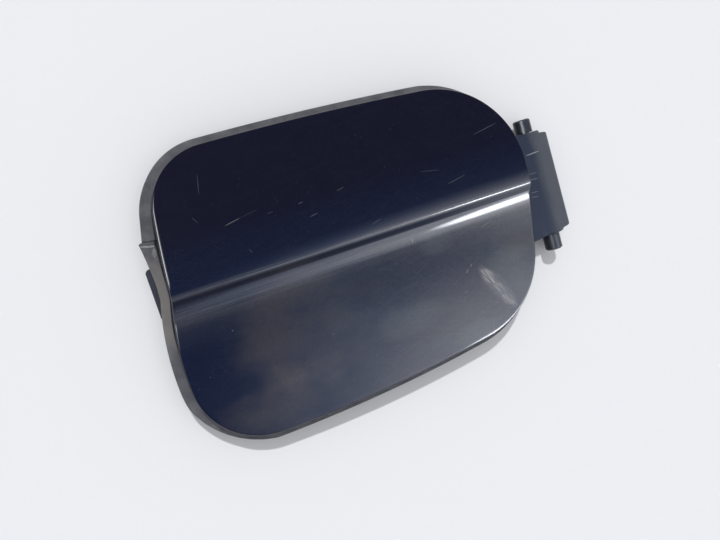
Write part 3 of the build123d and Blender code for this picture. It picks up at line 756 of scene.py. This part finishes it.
def paint():
    """Dark blue-black lacquer: hazed with painted sheen along the crease, clouded with painted reflection
    below it, scratched.
    """
    finish = Finish("dark_lacquer", Specular_IOR_Level=0.02, Coat_Roughness=0.045, Coat_IOR=1.5)
    place = finish.place()
    x, y, _ = finish.parts(place)
    dust = finish.noise(place, DUST_SIZE, detail=3.0, roughness=0.7)
    below = y.ramp(*LOWER_HALF)

    streaks = finish.noise(place, STREAK_SIZE, detail=3.0, roughness=0.65).ramp(0.32, 0.72)
    # Painted highlight on the ridge line and painted sheen beside it and in the valley, over real polishing
    # haze
    ridge_highlight = y.band(*RIDGE_WEAR_AND_HIGHLIGHT) * x.ramp(*RIDGE_HIGHLIGHT_ALONG)
    ridge = y.band(*RIDGE_HAZE_AND_SHEEN) * RIDGE_SHEEN_STRENGTH + ridge_highlight * RIDGE_HIGHLIGHT_STRENGTH
    polish_and_sheen = (ridge + y.band(*VALLEY_HAZE_AND_SHEEN)) * streaks.over(0.3)
    # Painted sheen on the step and at the hinge end of the valley, growing towards the hinge
    step_sheen = y.band(*STEP_WEAR_AND_SHEEN) * x.ramp(*STEP_SHEEN_ALONG) * STEP_SHEEN_STRENGTH
    to_hinge = 0.1 + x.ramp(*HINGE_END_ALONG) * 0.4 + x.ramp(*HINGE_END_CLOSE) * 0.26
    end_sheen = y.band(*HINGE_END_WEAR_AND_SHEEN) * to_hinge

    lines = 0.0
    for angle, length, width in HAIRLINES:
        lines = finish.hairlines(place, angle, length, width, *HAIRLINE_CUT) + lines
    lines = lines.held() * (below * x.ramp(*HAIRLINES_ALONG)).over(0.2)
    marks = finish.noise(place, SPECK_SIZE, detail=1.0).ramp(0.76, 0.82) * SPECK_STRENGTH
    for start, end, width, strength in SCRATCHES:
        marks = marks + stroke(x, y, start, end, width) * strength
    # Painted highlight: a bright streak over brush marks near the lower hinge corner
    brushed = finish.hairlines(place, *BRUSHED_HIGHLIGHT_MARKS, 0.32, 0.72).over(0.25)
    for start, end, width, strength in BRUSHED_HIGHLIGHT:
        marks = marks + stroke(x, y, start, end, width, BRUSHED_HIGHLIGHT_BLUNT) ** 3 * brushed * strength
    marks = marks.held()

    wander = (0.5 - finish.noise(place, WANDER_SIZE, detail=3.0)) * SPOT_WANDER

    def spread(spots):
        """Soft spots whose edges wander."""
        share = 0.0
        for middle, half_width, half_height in spots:
            off_x = (x - middle[0]) / half_width
            off_y = (y - middle[1]) / half_height
            share = (off_x * off_x + off_y * off_y + wander).ramp(*SPOT_FADE) + share
        return (share * (0.35 + dust * 0.4)).held()

    # Clouding in the lower half: hazed paint that is also painted reflection of a cloudy sky, stronger
    # towards the hinge
    cloud = finish.noise(place, CLOUD_SIZE, detail=4.0, roughness=0.6).ramp(0.25, 0.75)
    cloud = cloud * x.ramp(*CLOUD_ALONG)
    tint = finish.noise(place, TINT_SIZE).ramp(0.38, 0.62)
    veil = finish.mix(tint, BLUE_VEIL, GREY_VEIL)
    deep = finish.mix(y.ramp(*LOWER_LACQUER_FADE), UPPER_LACQUER, LOWER_LACQUER)
    lacquer = finish.mix(below * cloud * (0.35 + dust * 0.5), deep, veil)
    lacquer = finish.mix(spread(STAINS) * STAIN_STRENGTH, lacquer, STAIN_COLOUR)
    lacquer = finish.mix(spread(SMUDGES) * SMUDGE_STRENGTH, lacquer, SMUDGE_COLOUR)
    # Haze and hairlines lighten the lacquer: partly real haze, partly painted sheen and highlight
    haze_and_sheen = polish_and_sheen * (0.19 + dust * 0.3) + end_sheen * (0.6 + dust * 0.8)
    haze_and_sheen = haze_and_sheen + lines * HAIRLINE_STRENGTH + step_sheen
    with_sheen = finish.mix(haze_and_sheen.held(), lacquer, HAZE_AND_SHEEN_COLOUR)
    base = finish.mix(marks, with_sheen, SCRATCH_COLOUR)
    rough = 0.26 + lines * 0.1 + marks * 0.3
    relief = finish.bump(lines * -HAIRLINE_DEPTH - marks * SCRATCH_DEPTH, distance=1.0, strength=0.3)
    finish.set(Base_Color=base, Roughness=rough, Coat_Weight=1 - marks * 0.6, Normal=relief)
    return finish.material


# Weathered rubber: its warmer stretch up the door and at the free edge
WARM_STRETCH = (-24.0, -8.0, 12.0, 26.0)
WARM_SIDE = (-170.0, -180.0)
# Pale strokes at the tear: ends, width and bluntness
TORN_EDGE = ((-189.2, 27.6), (-184.4, 26.4), 0.5, 0.5)
TORN_FACE = ((-184.6, 25.2), (-185.4, 22.0), 1.3, 0.2)
# Painted shade in the gap under the panel's edge, as a dark band at the lip's root: how far out it fades,
# and how much wider it is beside the crease
ROOT_BAND = (-0.1, 0.3)
ROOT_BAND_EXTRA = 0.4
# Sizes of the rubber's noise, and its colours
MOTTLE_SIZE = (9.0, 9.0, 4.0)
RUBBER_GRAIN_SIZE = 0.35
DARK_RUBBER = (0.070, 0.073, 0.084, 1)
PALE_RUBBER = (0.135, 0.137, 0.148, 1)
WARM_RUBBER = (0.190, 0.178, 0.168, 1)
TORN_RUBBER = (0.46, 0.44, 0.42, 1)
ROOT_SHADE = (0.010, 0.010, 0.012, 1)


def seal_rubber():
    """Weathered grey rubber: warmer beside the crease, mottled, scuffed pale at the tear, with painted
    shade at its root.
    """
    finish = Finish("weathered_rubber", Specular_IOR_Level=0.25)
    place = finish.place()
    x, y, _ = finish.parts(place)
    mottle = finish.noise(place, MOTTLE_SIZE, detail=4.0, roughness=0.65)
    grain = finish.noise(place, RUBBER_GRAIN_SIZE)
    reach = finish.add("ShaderNodeAttribute", {"attribute_name": "reach"}, output="Fac")
    beside_crease = y.band(*WARM_STRETCH) * x.ramp(*WARM_SIDE)
    cool = finish.mix(mottle.ramp(0.3, 0.72), DARK_RUBBER, PALE_RUBBER)
    tone = finish.mix(beside_crease * mottle.over(0.4), cool, WARM_RUBBER)
    torn = stroke(x, y, *TORN_EDGE) + stroke(x, y, *TORN_FACE) * 0.35
    scuff = (torn * grain.ramp(0.3, 0.6) * 1.4).held()
    scuffed = finish.mix(scuff * 0.8, tone, TORN_RUBBER)
    # Painted shade: darkens the lip near its root, under the panel's edge
    clear_of_painted_shade = (reach - beside_crease * ROOT_BAND_EXTRA).ramp(*ROOT_BAND)
    base = finish.mix(clear_of_painted_shade, ROOT_SHADE, scuffed)
    relief = finish.bump(grain + mottle * 2, distance=0.05)
    finish.set(Base_Color=base, Roughness=0.62 + mottle * 0.25, Normal=relief)
    return finish.material


# Scratch and scuffs on the hinge arm, beside the panel: ends, width and strength
ARM_SCRATCHES = (
    ((-6.1, 15.3), (1.4, 15.7), 0.26, 0.85),
    ((-7.4, 6.2), (-2.8, 6.1), 0.24, 0.25),
    ((-7.6, 3.4), (-3.0, 3.2), 0.24, 0.30),
    ((-8.6, -2.8), (-4.6, -3.0), 0.24, 0.30),
    ((-8.9, -4.9), (-5.0, -5.4), 0.24, 0.25),
)
# Colours of the moulded pieces, dark and pale; the arm's pale colour is painted light on its rounded outer
# edge
ARM_DARK = (0.024, 0.031, 0.052, 1)
ARM_LIT_PALE = (0.074, 0.080, 0.096, 1)
ARM_RUBBED = (0.105, 0.11, 0.12, 1)
ARM_SCRATCH = (0.40, 0.41, 0.43, 1)
CATCH_COLOURS = ((0.011, 0.014, 0.023, 1), (0.021, 0.025, 0.036, 1))
BUSH_COLOURS = ((0.022, 0.027, 0.036, 1), (0.042, 0.048, 0.059, 1))
CARRIER_COLOURS = (grey(0.022, 1.1), grey(0.034, 1.1))
STOP_COLOURS = (grey(0.02), grey(0.03))
# Sizes of the noise on the arm, the other plastics and the steel
ARM_GRAIN_SIZE = 0.3
ARM_RUBBED_SIZE = (5.0, 16.0, 8.0)
PLASTIC_RUBBED_SIZE = (9.0, 14.0, 9.0)
STEEL_STAIN_SIZE = 2.5
STEEL_STAIN_SHADE = 0.7
# Painted light: the arm's rounded outer edge, turned to the light, is painted paler
ARM_LIT_EDGE = (-1.5, 6.0)  # the arm grows paler between these places, away from the panel
ARM_EDGE_WANDER = 5.0
PLASTIC_GRAIN_DEPTH = 0.03


def arm_plastic():
    """Grained dark plastic with painted light on its rounded outer edge; rubbed paler in patches, scratched
    and scuffed by the panel.
    """
    finish = Finish("arm_plastic", Specular_IOR_Level=0.15)
    place = finish.place()
    x, y, _ = finish.parts(place)
    grain = finish.noise(place, ARM_GRAIN_SIZE)
    rubbed = finish.noise(place, ARM_RUBBED_SIZE, detail=4.0, roughness=0.6)
    # Painted light, paler towards the rounded outer edge where the surface turns to the light
    outer = (x + rubbed * ARM_EDGE_WANDER).ramp(*ARM_LIT_EDGE)
    tone = finish.mix(outer, ARM_DARK, ARM_LIT_PALE)
    tone = finish.mix(rubbed.ramp(0.55, 0.85) * 0.35, tone, ARM_RUBBED)
    marks = 0.0
    for start, end, width, strength in ARM_SCRATCHES:
        marks = stroke(x, y, start, end, width) * strength + marks
    base = finish.mix(marks.held(), tone, ARM_SCRATCH)
    relief = finish.bump(grain, PLASTIC_GRAIN_DEPTH, strength=0.6)
    finish.set(Base_Color=base, Roughness=0.46 + rubbed * 0.2, Normal=relief)
    return finish.material


def moulded_plastic(name, dark, pale, roughness, grain_size, gloss=0.4):
    """Moulded black plastic with an eroded grain that is rubbed paler in places."""
    finish = Finish(name, Specular_IOR_Level=gloss)
    place = finish.place()
    grain = finish.noise(place, grain_size)
    rubbed = finish.noise(place, PLASTIC_RUBBED_SIZE, detail=4.0, roughness=0.6)
    base = finish.mix(rubbed.ramp(0.35, 0.8), dark, pale)
    relief = finish.bump(grain, PLASTIC_GRAIN_DEPTH, strength=0.6)
    finish.set(Base_Color=base, Roughness=roughness + rubbed * 0.15, Normal=relief)
    return finish.material


def plain_steel(name, level, roughness):
    """Zinc-grey steel with darker stains."""
    finish = Finish(name, Metallic=1.0)
    stain = finish.noise(finish.place(), STEEL_STAIN_SIZE, detail=3.0)
    base = finish.mix(stain.ramp(0.35, 0.7), grey(level), grey(level * STEEL_STAIN_SHADE))
    finish.set(Base_Color=base, Roughness=roughness + stain * 0.2)
    return finish.material


def pale_floor():
    """Plain floor under the lowest point of the part."""
    finish = Finish("pale_floor", Specular_IOR_Level=0.1)
    finish.set(Base_Color=FLOOR_COLOUR, Roughness=0.9)
    bpy.ops.mesh.primitive_plane_add(size=FLOOR_SIZE * MM, location=(MID_X * MM, 0, cad_box[0].z))
    floor = bpy.context.object
    floor.name = "floor"
    floor.data.materials.append(finish.material)


# Lights of the mirrored sky: cosine from the middle of each, and where it fades in across the sky
GLOW_ACROSS = (0.05, -0.40)
GLOW_MIDDLE = (0.80, 0.97)
GLINT_SPREAD = (0.978, 0.996)
GLINT_ACROSS = (-0.35, -0.50)
EDGE_LIGHT_SPREAD = (0.945, 0.988)
EDGE_LIGHT_ACROSS = (-0.14, 0.04)
# Heights over which the lights fade in, and the sky changes colour
GROUND_FADE = (0.0, 0.25)
DARK_SKY_RISE = (0.25, 0.7)
SOFT_SKY_RISE = (0.0, 0.9)
# Colours of the sky: mirrored in the paint, as soft light, and behind the floor
GLOW_COLOUR = (0.95, 0.98, 1.04, 1)
GLOW_EDGE_COLOUR = (0.60, 0.76, 1.18, 1)
LOW_DARK_SKY = (0.22, 0.22, 0.25, 1)
HIGH_DARK_SKY = (0.12, 0.14, 0.27, 1)
LOW_SOFT_SKY = (0.52, 0.52, 0.53, 1)
HIGH_SOFT_SKY = (0.64, 0.645, 0.66, 1)
BACKDROP_COLOUR = (0.86, 0.875, 0.9, 1)


def studio_world():
    """Even soft light; mirrored, a dark blue sky with a bright corner and a light for the free edge."""
    world = bpy.data.worlds.new("studio")
    bpy.context.scene.world = world
    world.use_nodes = True
    sky = Shading(world.node_tree)
    direction = sky.add("ShaderNodeTexCoord", output="Generated")
    _, across, height = sky.parts(direction)

    def vector_maths(operation, inputs, output=0):
        return sky.add("ShaderNodeVectorMath", {"operation": operation}, inputs, output)

    def towards(aim):
        return vector_maths("DOT_PRODUCT", {0: direction, 1: aim}, "Value")

    corner = towards(GLOW_DIRECTION)
    spread = ((corner - GLOW_START) / (1 - GLOW_START)).most(0.0) ** 3
    glow = spread * across.ramp(*GLOW_ACROSS) * GLOW_STRENGTH
    glint = corner.ramp(*GLINT_SPREAD) * across.ramp(*GLINT_ACROSS) * GLINT_STRENGTH
    beside = towards(EDGE_LIGHT_DIRECTION)
    edge_light = beside.ramp(*EDGE_LIGHT_SPREAD) * across.ramp(*EDGE_LIGHT_ACROSS) * EDGE_LIGHT_STRENGTH
    above_ground = height.ramp(*GROUND_FADE)
    hue = sky.mix(corner.ramp(*GLOW_MIDDLE), GLOW_EDGE_COLOUR, GLOW_COLOUR)
    tinted = vector_maths("SCALE", {0: hue, "Scale": (glow + glint) * above_ground})
    lights = vector_maths("ADD", {0: tinted, 1: edge_light * above_ground})
    dark_sky = sky.mix(height.ramp(*DARK_SKY_RISE), LOW_DARK_SKY, HIGH_DARK_SKY)
    mirrored = vector_maths("ADD", {0: dark_sky, 1: lights})
    soft = sky.mix(height.ramp(*SOFT_SKY_RISE), LOW_SOFT_SKY, HIGH_SOFT_SKY)
    glossy = sky.add("ShaderNodeLightPath", output="Is Glossy Ray")
    seen = sky.add("ShaderNodeLightPath", output="Is Camera Ray")
    colour = sky.mix(glossy, soft, mirrored)
    sky.feed(sky.tree.nodes["Background"], {"Color": sky.mix(seen, colour, BACKDROP_COLOUR)})


def key_light():
    """Sun that the paint doesn't mirror."""
    sun = bpy.data.lights.new("key", "SUN")
    sun.energy = SUN_STRENGTH
    sun.angle = math.radians(SUN_ANGLE)
    lamp = bpy.data.objects.new("key", sun)
    lamp.visible_glossy = False
    lamp.rotation_euler = Vector(SUN_DIRECTION).to_track_quat("Z", "Y").to_euler()
    bpy.context.scene.collection.objects.link(lamp)


def photo_camera():
    """Camera at the photo's place, aim and tilt."""
    camera = bpy.data.cameras.new("camera")
    camera.lens = CAMERA_LENS
    camera.sensor_width = SENSOR_WIDTH
    camera.sensor_fit = "HORIZONTAL"
    camera.clip_start = CLIP_START * MM
    place = Vector(CAMERA_PLACE)
    back = (place - Vector(CAMERA_AIM)).normalized()
    right = Vector(CAMERA_UP).cross(back).normalized()
    up = back.cross(right)
    turn = Matrix((right, up, back)).transposed().to_4x4()
    shot = bpy.data.objects.new("camera", camera)
    shot.matrix_world = Matrix.Translation(place * MM) @ turn
    bpy.context.scene.collection.objects.link(shot)
    bpy.context.scene.camera = shot


def dress(node, material):
    """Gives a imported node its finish."""
    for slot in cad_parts[node].material_slots:
        slot.material = material


bpy.context.scene.view_settings.view_transform = "Standard"
painted_panel(paint())
lip_seal(seal_rubber())
for node, material in (
    ("hinge_arm", arm_plastic()),
    ("catch", moulded_plastic("catch_plastic", *CATCH_COLOURS, roughness=0.45, grain_size=0.3)),
    ("inner_carrier", moulded_plastic("carrier_plastic", *CARRIER_COLOURS, roughness=0.5, grain_size=0.4)),
    ("hinge_pin", plain_steel("pin_steel", level=0.5, roughness=0.25)),
    ("mounting_screws", plain_steel("screw_steel", level=0.42, roughness=0.3)),
):
    dress(node, material)
bush_plastic = moulded_plastic("bush_plastic", *BUSH_COLOURS, roughness=0.24, grain_size=0.6, gloss=0.5)
for node in ("bush_upper", "bush_lower"):
    dress(node, bush_plastic)
stop_rubber = moulded_plastic("stop_rubber", *STOP_COLOURS, roughness=0.7, grain_size=0.5, gloss=0.3)
for node in ("stop_upper_free", "stop_lower_free", "stop_upper_hinge", "stop_lower_hinge"):
    dress(node, stop_rubber)
pale_floor()
studio_world()
key_light()
photo_camera()
